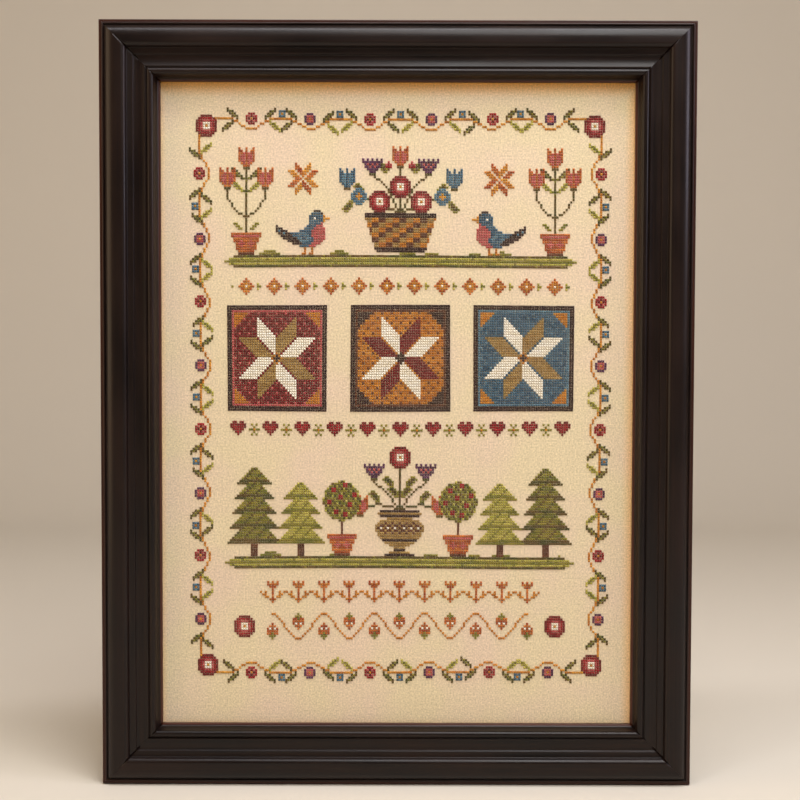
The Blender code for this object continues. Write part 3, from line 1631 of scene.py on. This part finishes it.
    def build(self, chart: Chart) -> list[Piece]:
        """Builds and dresses the stitches.

        Args:
            chart: the stitches to make.

        Returns:
            One piece for each floss, or more where a floss has many stitches.
        """
        stitch = self.stitch()
        tree = self.scatter(stitch)
        pieces = []
        for floss, skein in SKEINS.items():
            places = sorted(cell for cell, tone in chart.cells.items() if tone is floss)
            finish = skein.material()
            for part, first in enumerate(range(0, len(places), self.most_in_piece)):
                name = f"stitches_{skein.name}" + (f"_{part + 1}" if part else "")
                some = places[first:first + self.most_in_piece]
                pieces.append(self.piece(name, some, tree, finish))
                LOG.info("%s: %d stitches", name, len(some))
        bpy.data.objects.remove(stitch)
        return pieces


@dataclass(frozen=True)
class Lamp:
    """A soft light: where it stands, its width and height, its power in watts and its colour."""

    name: str
    place: Triple
    size: Span
    power: float
    colour: Colour

    def stand(self, aim: Vector) -> None:
        """Puts the light in the scene.

        Args:
            aim: the point that it faces.
        """
        light = bpy.data.lights.new(self.name, "AREA")
        light.shape = "RECTANGLE"
        light.size, light.size_y = self.size
        light.energy = self.power
        light.color = self.colour
        lamp = linked(self.name, light)
        lamp.location = self.place
        lamp.rotation_euler = (Vector(self.place) - aim).to_track_quat("Z", "Y").to_euler()


@dataclass
class Studio:
    """The paper stage, the lights, the room and the camera.

    The lights are a key from above and a little to the right, a narrow skylight along the top, a cool
    window far to the right and a warm fill from the left. The room's own light is warm and weak.
    """

    floor_gap: float = 0.0006
    half_side: float = 5.0
    backdrop: float = 1.9
    backdrop_height: float = 4.0
    sweep_radius: float = 0.6
    sweep_steps: int = 16
    lens: float = 60.0
    eye: Triple = (0.00136, -0.95373, -0.20718)
    pitch: float = -2.173
    roll: float = -0.149
    yaw: float = -0.027
    room: Colour = (1.0, 0.70, 0.40)
    room_strength: float = 0.30
    lamps: tuple[Lamp, ...] = (
        Lamp("key", (0.40, -0.96, 0.98), (0.95, 0.8), 19.0, (1.0, 0.985, 0.97)),
        Lamp("skylight", (0.10, -0.42, 1.08), (1.2, 0.16), 12.5, (0.98, 0.96, 1.0)),
        Lamp("window", (1.70, -0.58, 0.30), (0.65, 0.45), 8.5, (0.90, 0.84, 1.0)),
        Lamp("fill", (-1.7, -0.55, 0.10), (1.2, 1.2), 13.0, (1.0, 0.72, 0.46)),
    )
    paper: StudioPaper = StudioPaper()

    def stage(self) -> Piece:
        """Builds the floor and the backdrop, one sweep of paper.

        Returns:
            The sweep.
        """
        level = CAD_BOX[0].z - self.floor_gap
        nothing_selected()
        bpy.ops.mesh.primitive_plane_add(size=2 * self.half_side, location=(0.0, 0.0, level))
        floor = bpy.context.object
        floor.name = "paper_sweep"
        settle(floor)
        for vertex in floor.data.vertices:
            if vertex.co.y > 0:
                vertex.co.y = self.backdrop
        self.pick_back_edge(floor)
        bpy.ops.mesh.extrude_region_move(TRANSFORM_OT_translate={"value": (0.0, 0.0, self.backdrop_height)})
        self.pick_back_edge(floor)
        bpy.ops.mesh.bevel(offset=self.sweep_radius, segments=self.sweep_steps, affect="EDGES")
        bpy.ops.object.mode_set(mode="OBJECT")
        bpy.ops.object.shade_smooth()
        dress(floor, self.paper.material())
        return floor

    def pick_back_edge(self, floor: Piece) -> None:
        """Selects the floor's edge at the backdrop, and enters edit mode.

        Args:
            floor: the paper.
        """
        if floor.mode == "EDIT":
            bpy.ops.mesh.select_all(action="DESELECT")
            bpy.ops.object.mode_set(mode="OBJECT")
        for edge in floor.data.edges:
            ends = [floor.data.vertices[v].co for v in edge.vertices]
            edge.select = all(end.y > 0 and end.z < 0 for end in ends)
        bpy.ops.object.mode_set(mode="EDIT")
        bpy.ops.mesh.select_mode(type="EDGE")

    def lights(self) -> None:
        """Puts up the lights, which all face the middle of the frame, and lights the room."""
        middle = (CAD_BOX[0] + CAD_BOX[1]) / 2
        for lamp in self.lamps:
            lamp.stand(middle)
        world = bpy.data.worlds.new("room")
        world.use_nodes = True
        background = world.node_tree.nodes["Background"]
        background.inputs["Color"].default_value = (*self.room, 1.0)
        background.inputs["Strength"].default_value = self.room_strength
        bpy.context.scene.world = world

    def camera(self) -> None:
        """Sets the camera at the photograph's viewing angle."""
        data = bpy.data.cameras.new("camera")
        data.lens = self.lens
        camera = linked("camera", data)
        camera.location = self.eye
        turns = (90.0 + self.pitch, self.roll, self.yaw)
        camera.rotation_euler = [math.radians(turn) for turn in turns]
        bpy.context.scene.camera = camera

    def build(self) -> None:
        """Builds the stage, the lights and the camera."""
        self.stage()
        self.lights()
        self.camera()
        bpy.context.scene.view_settings.view_transform = "Standard"


def main() -> None:
    """Builds the sampler's pieces in order."""
    logging.basicConfig(level=logging.INFO, format="%(name)s: %(message)s")
    rails = Moulding().build()
    LOG.info("rails: %s", ", ".join(rail.name for rail in rails))
    cloth = StretchedLinen().build()
    LOG.info("cloth: %s, %d faces", cloth.name, len(cloth.data.polygons))
    design = SamplerDesign()
    design.stitch()
    stitches = StitchWork().build(design)
    LOG.info("stitches: %d in %d pieces", len(design.cells), len(stitches))
    board = frame["nodes"]["backing_board"]
    dress(board, MountingBoard().material())
    LOG.info("board: %s", board.name)
    Studio().build()


if __name__ == "__main__":
    main()
